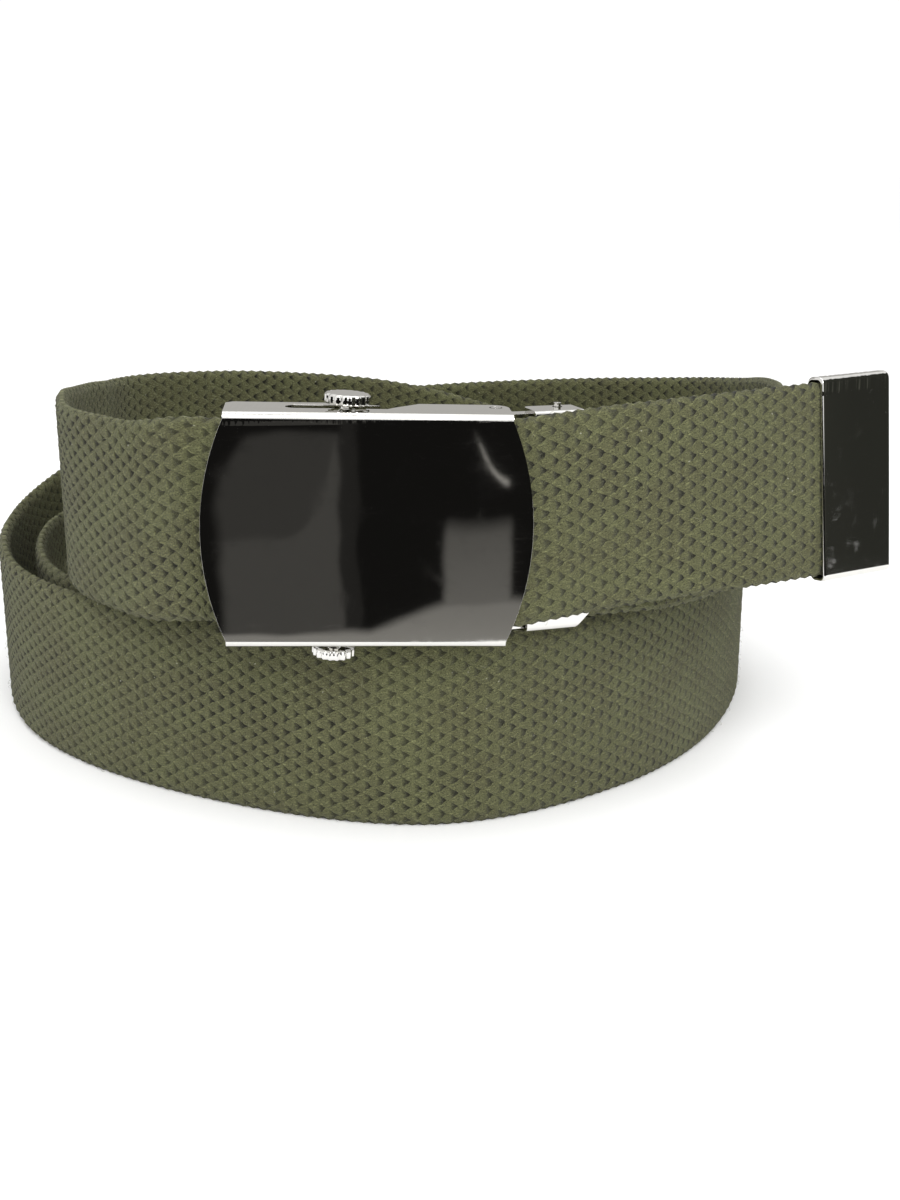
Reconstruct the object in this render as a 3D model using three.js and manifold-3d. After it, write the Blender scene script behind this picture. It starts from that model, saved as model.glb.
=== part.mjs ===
// A canvas web belt with a roller buckle, coiled in three turns on its edge.
// Millimetres, +Z up. The buckle faces -Y and the free strap runs off towards +X.
import * as THREE from 'three';
import { mergeVertices } from 'three/addons/utils/BufferGeometryUtils.js';
import Module from 'manifold-3d';

const wasm = await Module();
wasm.setup();

// Webbing
const WEB_WIDTH = 32;
const WEB_THICKNESS = 2.2;
const SELVEDGE_WIDTH = 0.5;
const SELVEDGE_THINNING = 0.6;
const WEB_STEP = 4.6;
const LAYER_GAP = 0.8;

// Coil, over the outside of its outermost turn
const COIL_WIDTH = 158;
const COIL_DEPTH = 126;
const POINTS_PER_TURN = 60;

// Buckle frame: a face plate with an upper and a lower flange folded from one sheet
const SHEET = 0.7;
const FOLD_RADIUS = 1;
const FACE_WIDTH = 42;
const FACE_BULGE = 3.5;
const FRAME_DEPTH = 9.4;
const FLANGE_STEP_DEPTH = 5.5;
const HINGE_SHEET = 0.6;
const HINGE_GAP = 0.2;
const WEB_SIDE_GAP = 0.25;
const BUCKLE_SHIFT = 1;
const BUCKLE_STANDOFF = 9.3;
const BUCKLE_RISE = 1.5;
const BUCKLE_YAW = 4.4;
const BUCKLE_ROLL = 1.5;

// Roller
const ROLLER_RADIUS = 2.1;
const ROLLER_PIN_RADIUS = 1.1;
const ROLLER_HEAD_RADIUS = 3.4;
const ROLLER_HEAD_HEIGHT = 1.6;
const ROLLER_HEAD_GAP = 0.9;
const ROLLER_DROP = 0.4;
const ROLLER_TILT = 2.7;
const ROLLER_KNURLS = 18;
const KNURL_DEPTH = 0.3;
const ROLLER_OFFSET = -4;
const SLOT_LENGTH = 13.6;
const RUNNING_GAP = 0.3;

// Clamp on the cut end of the web, its arms hinged in the right end of the buckle frame
const CLAMP_YAW = 17.6;
const CLAMP_LENGTH = 10.6;
const CLAMP_REACH = 5.5;
const ARM_WIDTH = 2.4;
const HINGE_INSET = 2;
const HINGE_DEPTH = 6.9;
const HINGE_PIN_RADIUS = 0.8;
const CLAMP_CORNER = 2.4;
const CLAMP_STEP = 0.5;
const WEB_IN_CLAMP = -0.7;
const JAW_THICKNESS = 1.3;
const JAW_LENGTH = 5;
const JAW_TEETH = 8;
const TOOTH_DEPTH = 0.3;
const JAW_PIN_RADIUS = 0.6;

// Free strap and its metal tip
const STRAP_LENGTH = 56.2;
const STRAP_SETBACK = 5.2;
const STRAP_LEAN = 6;
const TIP_LENGTH = 14.3;
const TIP_WALL = 0.5;
const TIP_CORNER = 1.2;
const TIP_END_ROUND = 0.8;

// Sizes that follow from the ones above
const LAYER_PITCH = WEB_THICKNESS + LAYER_GAP;
const CLAMP_HEIGHT = WEB_WIDTH + 2 * (WEB_SIDE_GAP + HINGE_SHEET);
const FRAME_HEIGHT = CLAMP_HEIGHT + 2 * (HINGE_GAP + SHEET);
const WEB_BEHIND_FACE = SHEET + RUNNING_GAP + WEB_THICKNESS / 2;
const ROLLER_DEPTH = SHEET + RUNNING_GAP + WEB_THICKNESS + RUNNING_GAP + ROLLER_RADIUS;
const SLOT_HALF = ROLLER_PIN_RADIUS + RUNNING_GAP;
const CLAMP_FRONT = WEB_IN_CLAMP - WEB_THICKNESS / 2 - HINGE_GAP - HINGE_SHEET;
const JAW_FRONT = WEB_IN_CLAMP + WEB_THICKNESS / 2 + HINGE_GAP;
const CLAMP_BACK = JAW_FRONT + JAW_THICKNESS + HINGE_SHEET;

// The outside of the coil, at every twelfth of a turn from the front and on round the right end:
// across is a share of COIL_WIDTH, back a share of COIL_DEPTH.
const OUTLINE = [
  { across: 0.06, back: -0.004 },
  { across: 0.27, back: 0.112 },
  { across: 0.417, back: 0.333 },
  { across: 0.486, back: 0.651 },
  { across: 0.43, back: 0.857 },
  { across: 0.241, back: 0.965 },
  { across: 0, back: 1 },
  { across: -0.247, back: 0.965 },
  { across: -0.434, back: 0.846 },
  { across: -0.497, back: 0.667 },
  { across: -0.429, back: 0.345 },
  { across: -0.247, back: 0.126 },
];

// The turns, from the clamp to the buckle frame. Whole turns are at the front, quarters at the
// right end, halves at the back. layers counts web layers inwards, drawn is a further share of
// COIL_WIDTH inwards, and lift is the height of the lower edge as a share of WEB_WIDTH.
const TURNS = [
  { turn: 0.15, layers: 0, drawn: -0.055, lift: 1.06 },
  { turn: 0.18, layers: 0, drawn: -0.033, lift: 1.03 },
  { turn: 0.22, layers: 0, drawn: -0.007, lift: 0.966 },
  { turn: 0.27, layers: 0, drawn: 0, lift: 0.878 },
  { turn: 0.34, layers: 0, drawn: 0, lift: 0.797 },
  { turn: 0.42, layers: 0, drawn: 0, lift: 0.733 },
  { turn: 0.5, layers: 0, drawn: 0, lift: 0.65 },
  { turn: 0.58, layers: 0, drawn: 0, lift: 0.5 },
  { turn: 0.64, layers: 0, drawn: 0, lift: 0.33 },
  { turn: 0.7, layers: 0, drawn: 0, lift: 0.16 },
  { turn: 0.75, layers: 0, drawn: 0, lift: 0.06 },
  { turn: 0.8, layers: 0, drawn: 0, lift: 0.012 },
  { turn: 0.85, layers: 0, drawn: 0, lift: 0 },
  { turn: 1.0, layers: 0, drawn: 0, lift: 0 },
  { turn: 1.08, layers: 0.3, drawn: 0, lift: 0 },
  { turn: 1.22, layers: 1, drawn: 0, lift: 0 },
  { turn: 1.5, layers: 1, drawn: 0, lift: 0 },
  { turn: 1.62, layers: 1, drawn: 0.014, lift: 0 },
  { turn: 1.75, layers: 1, drawn: 0.03, lift: 0 },
  { turn: 1.88, layers: 1, drawn: 0.009, lift: 0 },
  { turn: 2.0, layers: 1, drawn: 0, lift: 0 },
  { turn: 2.08, layers: 1.3, drawn: 0, lift: 0 },
  { turn: 2.22, layers: 2, drawn: 0, lift: 0 },
  { turn: 2.28, layers: 2, drawn: 0, lift: 0 },
  { turn: 2.35, layers: 2, drawn: 0, lift: 0.12 },
  { turn: 2.42, layers: 2, drawn: 0, lift: 0.42 },
  { turn: 2.5, layers: 2, drawn: 0, lift: 0.72 },
  { turn: 2.56, layers: 2, drawn: 0.012, lift: 0.812 },
  { turn: 2.62, layers: 2, drawn: 0.035, lift: 0.85 },
  { turn: 2.68, layers: 2, drawn: 0.064, lift: 0.86 },
  { turn: 2.75, layers: 2, drawn: 0.085, lift: 0.888 },
  { turn: 2.8, layers: 2, drawn: 0.062, lift: 0.94 },
  { turn: 2.84, layers: 2, drawn: 0.025, lift: 1.0 },
  { turn: 2.865, layers: 2, drawn: -0.005, lift: 1.018 },
  { turn: 2.89, layers: 1, drawn: -0.029, lift: 1.028 },
  { turn: 2.91, layers: 0.4, drawn: -0.038, lift: 1.036 },
  { turn: 2.93, layers: 0, drawn: -0.05, lift: 1.043 },
];

// The web's way through the buckle frame: across is a share of FACE_WIDTH from the middle,
// behind a share of FRAME_DEPTH behind its place against the face, rise a share of WEB_WIDTH.
const THROUGH_FRAME = [
  { across: -0.62, behind: 0.99, rise: -0.027 },
  { across: -0.5, behind: 0.8, rise: -0.024 },
  { across: -0.395, behind: 0.48, rise: -0.019 },
  { across: -0.265, behind: 0.19, rise: -0.013 },
  { across: -0.16, behind: 0.01, rise: -0.007 },
  { across: 0.08, behind: 0, rise: 0 },
  { across: 0.28, behind: 0, rise: 0.009 },
  { across: 0.46, behind: 0.01, rise: 0.017 },
];

// The free strap beside the clamp: along and back are shares of STRAP_LENGTH, rise of WEB_WIDTH.
const FREE_STRAP = [
  { along: 0.12, back: 0, rise: 0.043 },
  { along: 0.28, back: 0, rise: 0.07 },
  { along: 0.5, back: 0.004, rise: 0.094 },
  { along: 0.75, back: 0.016, rise: 0.115 },
  { along: 1.0, back: 0.04, rise: 0.132 },
];

// The cut end beside it: along and back are shares of STRAP_LENGTH.
const CUT_END = [
  { along: 0.26, back: 0 },
  { along: 0.42, back: 0 },
  { along: 0.56, back: 0.006 },
];

const chrome = { color: 0xc9cacb, roughness: 0.12, metalness: 1 };

function piece(name, geometry, look) {
  const mesh = new THREE.Mesh(geometry, new THREE.MeshStandardMaterial(look));
  mesh.name = name;
  return mesh;
}

function bare(geometry) {
  const copy = geometry.clone();
  copy.deleteAttribute('normal');
  copy.deleteAttribute('uv');
  return mergeVertices(copy, 1e-5);
}

function solid(geometry) {
  const merged = bare(geometry);
  return new wasm.Manifold(new wasm.Mesh({
    numProp: 3,
    vertProperties: new Float32Array(merged.attributes.position.array),
    triVerts: new Uint32Array(merged.index.array),
  }));
}

function geometryOf(manifold) {
  const mesh = manifold.getMesh();
  const geometry = new THREE.BufferGeometry();
  geometry.setAttribute('position', new THREE.BufferAttribute(new Float32Array(mesh.vertProperties), 3));
  geometry.setIndex(new THREE.BufferAttribute(new Uint32Array(mesh.triVerts), 1));
  return geometry;
}

// A flat outline in X and Y, made into a slab between two heights.
function slab(shape, low, high, curveSegments = 6) {
  const geometry = new THREE.ExtrudeGeometry(shape, { depth: high - low, bevelEnabled: false, curveSegments });
  geometry.translate(0, 0, low);
  return solid(geometry);
}

// A flat outline in X and Z, made into a plate from y = front to y = back.
function plate(shape, front, back, curveSegments = 12) {
  const geometry = new THREE.ExtrudeGeometry(shape, { depth: back - front, bevelEnabled: false, curveSegments });
  geometry.rotateX(Math.PI / 2);
  geometry.translate(0, back, 0);
  return solid(geometry);
}

// A flat outline in Y and Z, drawn out along X from x = 0.
function alongX(shape, length, curveSegments = 6) {
  const geometry = new THREE.ExtrudeGeometry(shape, { depth: length, bevelEnabled: false, curveSegments });
  geometry.applyMatrix4(new THREE.Matrix4().makeBasis(
    new THREE.Vector3(0, 1, 0),
    new THREE.Vector3(0, 0, 1),
    new THREE.Vector3(1, 0, 0),
  ));
  return geometry;
}

function roundedRect(width, height, radius) {
  const shape = new THREE.Shape();
  const right = width / 2;
  const top = height / 2;
  shape.moveTo(-right + radius, -top);
  shape.lineTo(right - radius, -top);
  shape.absarc(right - radius, -top + radius, radius, -Math.PI / 2, 0, false);
  shape.lineTo(right, top - radius);
  shape.absarc(right - radius, top - radius, radius, 0, Math.PI / 2, false);
  shape.lineTo(-right + radius, top);
  shape.absarc(-right + radius, top - radius, radius, Math.PI / 2, Math.PI, false);
  shape.lineTo(-right, -top + radius);
  shape.absarc(-right + radius, -top + radius, radius, Math.PI, Math.PI * 1.5, false);
  return shape;
}

function upright(radius, low, high, x, y, segments = 16) {
  const geometry = new THREE.CylinderGeometry(radius, radius, high - low, segments);
  geometry.rotateX(Math.PI / 2);
  geometry.translate(x, y, (low + high) / 2);
  return solid(geometry);
}

// Buckle frame

function faceOutline() {
  const half = FACE_WIDTH / 2;
  const top = FRAME_HEIGHT / 2 - FOLD_RADIUS;
  const radius = (top * top + FACE_BULGE * FACE_BULGE) / (2 * FACE_BULGE);
  const spread = Math.asin(top / radius);
  const shape = new THREE.Shape();
  shape.absarc(half + FACE_BULGE - radius, 0, radius, -spread, spread, false);
  shape.absarc(-half - FACE_BULGE + radius, 0, radius, Math.PI - spread, Math.PI + spread, false);
  return shape;
}

function channelProfile() {
  const outer = roundedRect(FRAME_DEPTH * 2, FRAME_HEIGHT, FOLD_RADIUS);
  const inner = roundedRect(FRAME_DEPTH * 2 - SHEET * 2, FRAME_HEIGHT - SHEET * 2, FOLD_RADIUS - SHEET);
  outer.holes.push(inner);
  return outer;
}

// The flange seen from above, with the roller's slot open towards the rear on its right.
function flangeOutline() {
  const half = FACE_WIDTH / 2;
  const slotLeft = ROLLER_OFFSET - SLOT_LENGTH / 2;
  const slotRight = ROLLER_OFFSET + SLOT_LENGTH / 2;
  const corner = FRAME_DEPTH - HINGE_DEPTH;
  const shape = new THREE.Shape();
  shape.moveTo(-half, -FOLD_RADIUS);
  shape.lineTo(half, -FOLD_RADIUS);
  shape.lineTo(half, HINGE_DEPTH);
  shape.absarc(half - corner, HINGE_DEPTH, corner, 0, Math.PI / 2, false);
  shape.lineTo(slotRight + FRAME_DEPTH - FLANGE_STEP_DEPTH + 1, FRAME_DEPTH);
  shape.lineTo(slotRight + 1, FLANGE_STEP_DEPTH);
  shape.lineTo(slotRight, ROLLER_DEPTH - SLOT_HALF);
  shape.lineTo(slotLeft, ROLLER_DEPTH - SLOT_HALF);
  shape.absarc(slotLeft, ROLLER_DEPTH, SLOT_HALF, Math.PI * 1.5, Math.PI / 2, true);
  shape.lineTo(slotRight - 1, ROLLER_DEPTH + SLOT_HALF);
  shape.lineTo(ROLLER_OFFSET, FRAME_DEPTH);
  shape.lineTo(-half + FOLD_RADIUS, FRAME_DEPTH);
  shape.lineTo(-half, FRAME_DEPTH - FOLD_RADIUS);
  return shape;
}

function frameGeometry() {
  const half = FACE_WIDTH / 2;
  const top = FRAME_HEIGHT / 2;
  const channel = alongX(channelProfile(), FACE_WIDTH, 4);
  channel.translate(-half, FRAME_DEPTH, 0);
  const folded = solid(channel).intersect(slab(flangeOutline(), -top - 1, top + 1, 5));
  let frame = folded.add(plate(faceOutline(), 0, SHEET, 10));
  for (const side of [-1, 1]) {
    const low = Math.min(side * (top - SHEET - 1), side * (top + 1));
    const high = Math.max(side * (top - SHEET - 1), side * (top + 1));
    const radius = HINGE_PIN_RADIUS + HINGE_GAP;
    frame = frame.subtract(upright(radius, low, high, half - HINGE_INSET, HINGE_DEPTH, 12));
  }
  return geometryOf(frame);
}

// Roller: a plain barrel on a pin, with a knurled head above and below the flanges. It hangs down
// by its play and leans a little in its slots.

function knurledHead() {
  const shape = new THREE.Shape();
  const points = ROLLER_KNURLS * 2;
  for (let index = 0; index < points; index += 1) {
    const radius = ROLLER_HEAD_RADIUS - (index % 2) * KNURL_DEPTH;
    const angle = (index / points) * Math.PI * 2;
    const x = radius * Math.cos(angle);
    const y = radius * Math.sin(angle);
    if (index === 0) {
      shape.moveTo(x, y);
    } else {
      shape.lineTo(x, y);
    }
  }
  return shape;
}

function rollerGeometry() {
  const top = FRAME_HEIGHT / 2;
  const barrelTop = top - SHEET - ROLLER_DROP - 1.5 * RUNNING_GAP;
  const headLow = top + ROLLER_HEAD_GAP;
  const headHigh = headLow + ROLLER_HEAD_HEIGHT;
  let roller = upright(ROLLER_RADIUS, -barrelTop, barrelTop, 0, 0, 20);
  roller = roller.add(upright(ROLLER_PIN_RADIUS, -headLow - KNURL_DEPTH, headLow + KNURL_DEPTH, 0, 0, 16));
  roller = roller.add(slab(knurledHead(), headLow, headHigh));
  roller = roller.add(slab(knurledHead(), -headHigh, -headLow));
  return geometryOf(roller);
}

// Clamp: a channel open to the back, with two arms a step inside its flanges that each carry a
// hinge stub. Its own frame has the hinge at the origin, X along the web and Y towards the back.

function clampArm() {
  const arm = ARM_WIDTH / 2;
  const shape = new THREE.Shape();
  shape.moveTo(0, -arm);
  shape.lineTo(CLAMP_REACH + arm, -arm);
  shape.lineTo(CLAMP_REACH + arm, arm);
  shape.lineTo(0, arm);
  shape.absarc(0, 0, arm, Math.PI / 2, Math.PI * 1.5, false);
  return shape;
}

function clampFlange() {
  const right = CLAMP_REACH + CLAMP_LENGTH;
  const round = ARM_WIDTH / 2;
  const shape = new THREE.Shape();
  shape.moveTo(CLAMP_REACH, CLAMP_FRONT);
  shape.lineTo(right, CLAMP_FRONT);
  shape.lineTo(right, CLAMP_BACK - round);
  shape.absarc(right - round, CLAMP_BACK - round, round, 0, Math.PI / 2, false);
  shape.lineTo(CLAMP_REACH + round, CLAMP_BACK);
  shape.absarc(CLAMP_REACH + round, CLAMP_BACK - round, round, Math.PI / 2, Math.PI, false);
  return shape;
}

// The clamp seen from the front: its free end has its upper and lower corner cut off.
function clampFace() {
  const top = CLAMP_HEIGHT / 2 + CLAMP_STEP + 1;
  const right = CLAMP_REACH + CLAMP_LENGTH;
  const corner = CLAMP_CORNER + 1;
  const shape = new THREE.Shape();
  shape.moveTo(0, -top);
  shape.lineTo(right - corner, -top);
  shape.lineTo(right, corner - top);
  shape.lineTo(right, top - corner);
  shape.lineTo(right - corner, top);
  shape.lineTo(0, top);
  return shape;
}

function jawPinPlace() {
  return [CLAMP_REACH + CLAMP_LENGTH / 2, JAW_FRONT + JAW_THICKNESS / 2];
}

function clampGeometry() {
  const armTop = CLAMP_HEIGHT / 2;
  const top = armTop + CLAMP_STEP;
  const depth = (CLAMP_BACK - CLAMP_FRONT) * 2;
  const profile = roundedRect(depth, top * 2, FOLD_RADIUS);
  profile.holes.push(roundedRect(
    depth - HINGE_SHEET * 2,
    (top - HINGE_SHEET) * 2,
    FOLD_RADIUS - HINGE_SHEET,
  ));
  const channel = alongX(profile, CLAMP_LENGTH, 4);
  channel.translate(CLAMP_REACH, CLAMP_BACK, 0);
  let clamp = solid(channel).intersect(slab(clampFlange(), -top - 1, top + 1, 5));
  clamp = clamp.intersect(plate(clampFace(), CLAMP_FRONT - 1, CLAMP_BACK + 1));
  const [pinX, pinY] = jawPinPlace();
  clamp = clamp.subtract(upright(JAW_PIN_RADIUS + HINGE_GAP, -top - 1, top + 1, pinX, pinY, 12));
  clamp = clamp.add(slab(clampArm(), armTop - HINGE_SHEET, armTop, 5));
  clamp = clamp.add(slab(clampArm(), -armTop, HINGE_SHEET - armTop, 5));
  clamp = clamp.add(upright(HINGE_PIN_RADIUS, armTop - HINGE_SHEET, FRAME_HEIGHT / 2, 0, 0, 12));
  clamp = clamp.add(upright(HINGE_PIN_RADIUS, -FRAME_HEIGHT / 2, HINGE_SHEET - armTop, 0, 0, 12));
  return geometryOf(clamp);
}

// The jaw is a toothed bar with a stub at each end that turns in the clamp's flanges.
function jawGeometry() {
  const top = CLAMP_HEIGHT / 2 + CLAMP_STEP;
  const end = WEB_WIDTH / 2;
  const [pinX, pinY] = jawPinPlace();
  const pitch = (end * 2) / JAW_TEETH;
  const back = JAW_FRONT + JAW_THICKNESS;
  const shape = new THREE.Shape();
  shape.moveTo(JAW_FRONT + TOOTH_DEPTH, -end);
  shape.lineTo(back, -end);
  shape.lineTo(back, end);
  shape.lineTo(JAW_FRONT + TOOTH_DEPTH, end);
  for (let tooth = JAW_TEETH; tooth > 0; tooth -= 1) {
    shape.lineTo(JAW_FRONT, -end + (tooth - 0.5) * pitch);
    shape.lineTo(JAW_FRONT + TOOTH_DEPTH, -end + (tooth - 1) * pitch);
  }
  const bar = alongX(shape, JAW_LENGTH);
  bar.translate(pinX - JAW_LENGTH / 2, 0, 0);
  const pinEnd = top + HINGE_SHEET;
  const jaw = solid(bar)
    .add(upright(JAW_PIN_RADIUS, end - 1, pinEnd, pinX, pinY, 12))
    .add(upright(JAW_PIN_RADIUS, -pinEnd, 1 - end, pinX, pinY, 12));
  return geometryOf(jaw);
}

// Tip: a sleeve folded over the web's end, open towards the belt. X runs along the web.
function tipGeometry() {
  const thickness = WEB_THICKNESS + 2 * (RUNNING_GAP + TIP_WALL);
  const height = WEB_WIDTH + 2 * (RUNNING_GAP + TIP_WALL);
  const outer = new THREE.ExtrudeGeometry(
    roundedRect(thickness - TIP_END_ROUND, height - TIP_END_ROUND, TIP_CORNER - TIP_END_ROUND / 2),
    {
      depth: TIP_LENGTH - TIP_END_ROUND,
      bevelThickness: TIP_END_ROUND / 2,
      bevelSize: TIP_END_ROUND / 2,
      bevelSegments: 3,
      curveSegments: 4,
    },
  );
  const hollow = new THREE.ExtrudeGeometry(
    roundedRect(thickness - TIP_WALL * 2, height - TIP_WALL * 2, TIP_CORNER - TIP_WALL),
    { depth: TIP_LENGTH, bevelEnabled: false, curveSegments: 4 },
  );
  outer.translate(0, 0, TIP_END_ROUND / 2);
  hollow.translate(0, 0, -TIP_WALL * 2);
  for (const geometry of [outer, hollow]) {
    geometry.rotateX(Math.PI / 2);
    geometry.rotateZ(Math.PI / 2);
  }
  return geometryOf(solid(outer).subtract(solid(hollow)));
}

// Coil

function column(name) {
  const turns = TURNS.map((row) => row.turn);
  const values = TURNS.map((row) => row[name]);
  const curve = new THREE.CubicInterpolant(turns, values, 1, new Float32Array(1));
  return (turn) => curve.evaluate(turn)[0];
}

function coilPoints() {
  const layers = column('layers');
  const drawn = column('drawn');
  const lift = column('lift');
  const outline = new THREE.CatmullRomCurve3(
    OUTLINE.map((row) => new THREE.Vector3(row.across * COIL_WIDTH, row.back * COIL_DEPTH, 0)),
    true,
    'centripetal',
  );
  const first = TURNS[0].turn;
  const last = TURNS[TURNS.length - 1].turn;
  const count = Math.round((last - first) * POINTS_PER_TURN);
  const points = [];
  for (let index = 0; index <= count; index += 1) {
    const turn = first + ((last - first) * index) / count;
    const inset = WEB_THICKNESS / 2 + layers(turn) * LAYER_PITCH + drawn(turn) * COIL_WIDTH;
    const point = outline.getPoint(turn % 1);
    const along = outline.getTangent(turn % 1);
    point.x -= inset * along.y;
    point.y += inset * along.x;
    point.z = Math.max(0, lift(turn)) * WEB_WIDTH + WEB_WIDTH / 2;
    points.push(point);
  }
  return points;
}

function webCurve(buckle, clamp) {
  const cutEnd = [new THREE.Vector3(CLAMP_REACH + RUNNING_GAP, WEB_IN_CLAMP, 0)];
  for (const row of CUT_END) {
    cutEnd.push(new THREE.Vector3(row.along * STRAP_LENGTH, WEB_IN_CLAMP + row.back * STRAP_LENGTH, 0));
  }
  const through = THROUGH_FRAME.map((row) => new THREE.Vector3(
    row.across * FACE_WIDTH,
    WEB_BEHIND_FACE + row.behind * FRAME_DEPTH,
    row.rise * WEB_WIDTH,
  ));
  const strap = FREE_STRAP.map((row) => new THREE.Vector3(
    row.along * STRAP_LENGTH,
    row.back * STRAP_LENGTH - STRAP_SETBACK,
    row.rise * WEB_WIDTH,
  ));
  const end = strap[strap.length - 1];
  const before = strap[strap.length - 2];
  const inTip = TIP_LENGTH - TIP_END_ROUND - RUNNING_GAP;
  strap.push(end.clone().addScaledVector(end.clone().sub(before).normalize(), inTip));
  return new THREE.CatmullRomCurve3([
    ...cutEnd.map((point) => clamp.localToWorld(point)),
    ...coilPoints(),
    ...through.map((point) => buckle.localToWorld(point)),
    ...strap.map((point) => clamp.localToWorld(point)),
  ], false, 'centripetal');
}

// The directions of the web at a point of its curve: along it, out through its face, and up.
// The free strap leans back more and more towards its tip.
function webAxes(curve, share) {
  const along = curve.getTangentAt(share);
  const alongStrap = 1 - ((1 - share) * curve.getLength()) / STRAP_LENGTH;
  const lean = STRAP_LEAN * THREE.MathUtils.smoothstep(alongStrap, 0, 1);
  const out = new THREE.Vector3().crossVectors(along, new THREE.Vector3(0, 0, 1)).normalize();
  out.applyAxisAngle(along, -THREE.MathUtils.degToRad(lean));
  const up = new THREE.Vector3().crossVectors(out, along).normalize();
  return { along, out, up };
}

function webGeometry(curve) {
  const steps = Math.round(curve.getLength() / WEB_STEP);
  const geometry = new THREE.BoxGeometry(1, 1, 1, steps, 1, 3);
  const position = geometry.attributes.position;
  const rows = [-WEB_WIDTH / 2, SELVEDGE_WIDTH - WEB_WIDTH / 2, WEB_WIDTH / 2 - SELVEDGE_WIDTH, WEB_WIDTH / 2];
  const halves = [SELVEDGE_THINNING, 1, 1, SELVEDGE_THINNING].map((share) => (share * WEB_THICKNESS) / 2);
  const sections = [];
  for (let index = 0; index <= steps; index += 1) {
    const share = index / steps;
    sections.push({ point: curve.getPointAt(share), ...webAxes(curve, share) });
  }
  for (let index = 0; index < position.count; index += 1) {
    const section = sections[Math.round((position.getX(index) + 0.5) * steps)];
    const row = Math.round((position.getZ(index) + 0.5) * 3);
    const side = Math.sign(position.getY(index));
    const place = section.point.clone();
    place.addScaledVector(section.out, -side * halves[row]);
    place.addScaledVector(section.up, rows[row]);
    position.setXYZ(index, place.x, place.y, place.z);
  }
  return bare(geometry);
}

const belt = new THREE.Group();

const buckle = new THREE.Group();
buckle.position.set(BUCKLE_SHIFT, -BUCKLE_STANDOFF, WEB_WIDTH + BUCKLE_RISE + FRAME_HEIGHT / 2);
buckle.rotation.set(0, THREE.MathUtils.degToRad(BUCKLE_ROLL), THREE.MathUtils.degToRad(BUCKLE_YAW), 'ZYX');
buckle.add(piece('buckle_frame', frameGeometry(), chrome));

const roller = piece('roller', rollerGeometry(), chrome);
roller.position.set(ROLLER_OFFSET, ROLLER_DEPTH, -ROLLER_DROP);
roller.rotation.y = THREE.MathUtils.degToRad(ROLLER_TILT);
buckle.add(roller);

const clamp = new THREE.Group();
clamp.position.set(FACE_WIDTH / 2 - HINGE_INSET, HINGE_DEPTH, 0);
clamp.rotation.z = THREE.MathUtils.degToRad(CLAMP_YAW);
clamp.add(piece('clamp', clampGeometry(), chrome));
clamp.add(piece('clamp_jaw', jawGeometry(), chrome));
buckle.add(clamp);
belt.add(buckle);
belt.updateMatrixWorld(true);

const curve = webCurve(buckle, clamp);
belt.add(piece('web', webGeometry(curve), { color: 0x64644e, roughness: 0.95, metalness: 0 }));

const tip = piece('web_tip', tipGeometry(), chrome);
const atEnd = webAxes(curve, 1);
const tipBack = TIP_LENGTH - TIP_WALL * 2 - RUNNING_GAP;
tip.position.copy(curve.getPointAt(1)).addScaledVector(atEnd.along, -tipBack);
const tipTurn = new THREE.Matrix4().makeBasis(atEnd.along, atEnd.out.clone().negate(), atEnd.up);
tip.quaternion.setFromRotationMatrix(tipTurn);
belt.add(tip);

// The origin is the middle of the footprint, on the surface that the belt stands on.
belt.updateMatrixWorld(true);
const extent = new THREE.Box3().setFromObject(belt, true);
const middle = extent.getCenter(new THREE.Vector3());
belt.position.set(-middle.x, -middle.y, -extent.min.z);

export default belt;
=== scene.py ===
"""Looks of the coiled canvas web belt: woven webbing, plated metal, floor, light and camera."""
import math

import bmesh
import bpy
import numpy as np
from bpy.props import FloatProperty, FloatVectorProperty, IntProperty, PointerProperty
from bpy.types import Operator, Panel, PropertyGroup
from mathutils import Matrix, Vector


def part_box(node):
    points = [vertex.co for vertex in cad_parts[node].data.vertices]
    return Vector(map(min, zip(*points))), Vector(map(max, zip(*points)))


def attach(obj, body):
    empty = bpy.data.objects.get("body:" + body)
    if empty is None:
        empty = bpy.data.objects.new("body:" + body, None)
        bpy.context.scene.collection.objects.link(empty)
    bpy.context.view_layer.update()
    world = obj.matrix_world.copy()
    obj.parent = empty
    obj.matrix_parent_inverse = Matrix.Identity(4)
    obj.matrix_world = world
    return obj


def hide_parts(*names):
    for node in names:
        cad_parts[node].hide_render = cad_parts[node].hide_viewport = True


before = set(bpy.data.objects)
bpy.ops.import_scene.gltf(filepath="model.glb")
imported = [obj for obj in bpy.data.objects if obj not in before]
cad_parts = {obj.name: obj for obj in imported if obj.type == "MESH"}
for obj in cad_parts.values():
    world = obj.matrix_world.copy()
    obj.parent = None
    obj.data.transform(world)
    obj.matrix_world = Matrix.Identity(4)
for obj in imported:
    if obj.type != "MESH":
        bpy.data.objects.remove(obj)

bl_info = {
    "name": "Canvas web belt",
    "version": (1, 0, 0),
    "blender": (4, 5, 0),
    "location": "View3D > Sidebar > Belt",
    "description": "Dresses a coiled web belt with woven webbing and plated metal",
    "category": "Object",
}

MM = 0.001
METAL_NODES = ("buckle_frame", "roller", "clamp", "clamp_jaw", "web_tip")
WORN_NODES = ("clamp_jaw", "web_tip")

# The buckle's face, which the front card is drawn for.
FACE_YAW = math.radians(4.4)
FACE_CENTRE = Vector((-3.36 * MM, -66.7 * MM, 51.25 * MM))
FACE_NORMAL = Vector((math.sin(FACE_YAW), -math.cos(FACE_YAW), 0.0))

# The web node's cross-sections are rings of eight corners. A triangle of its faces has a side
# between these lengths, and a triangle of its end caps has none.
RING_CORNERS = 8
STEP_SHORTEST = 3 * MM
STEP_LONGEST = 8 * MM

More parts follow.
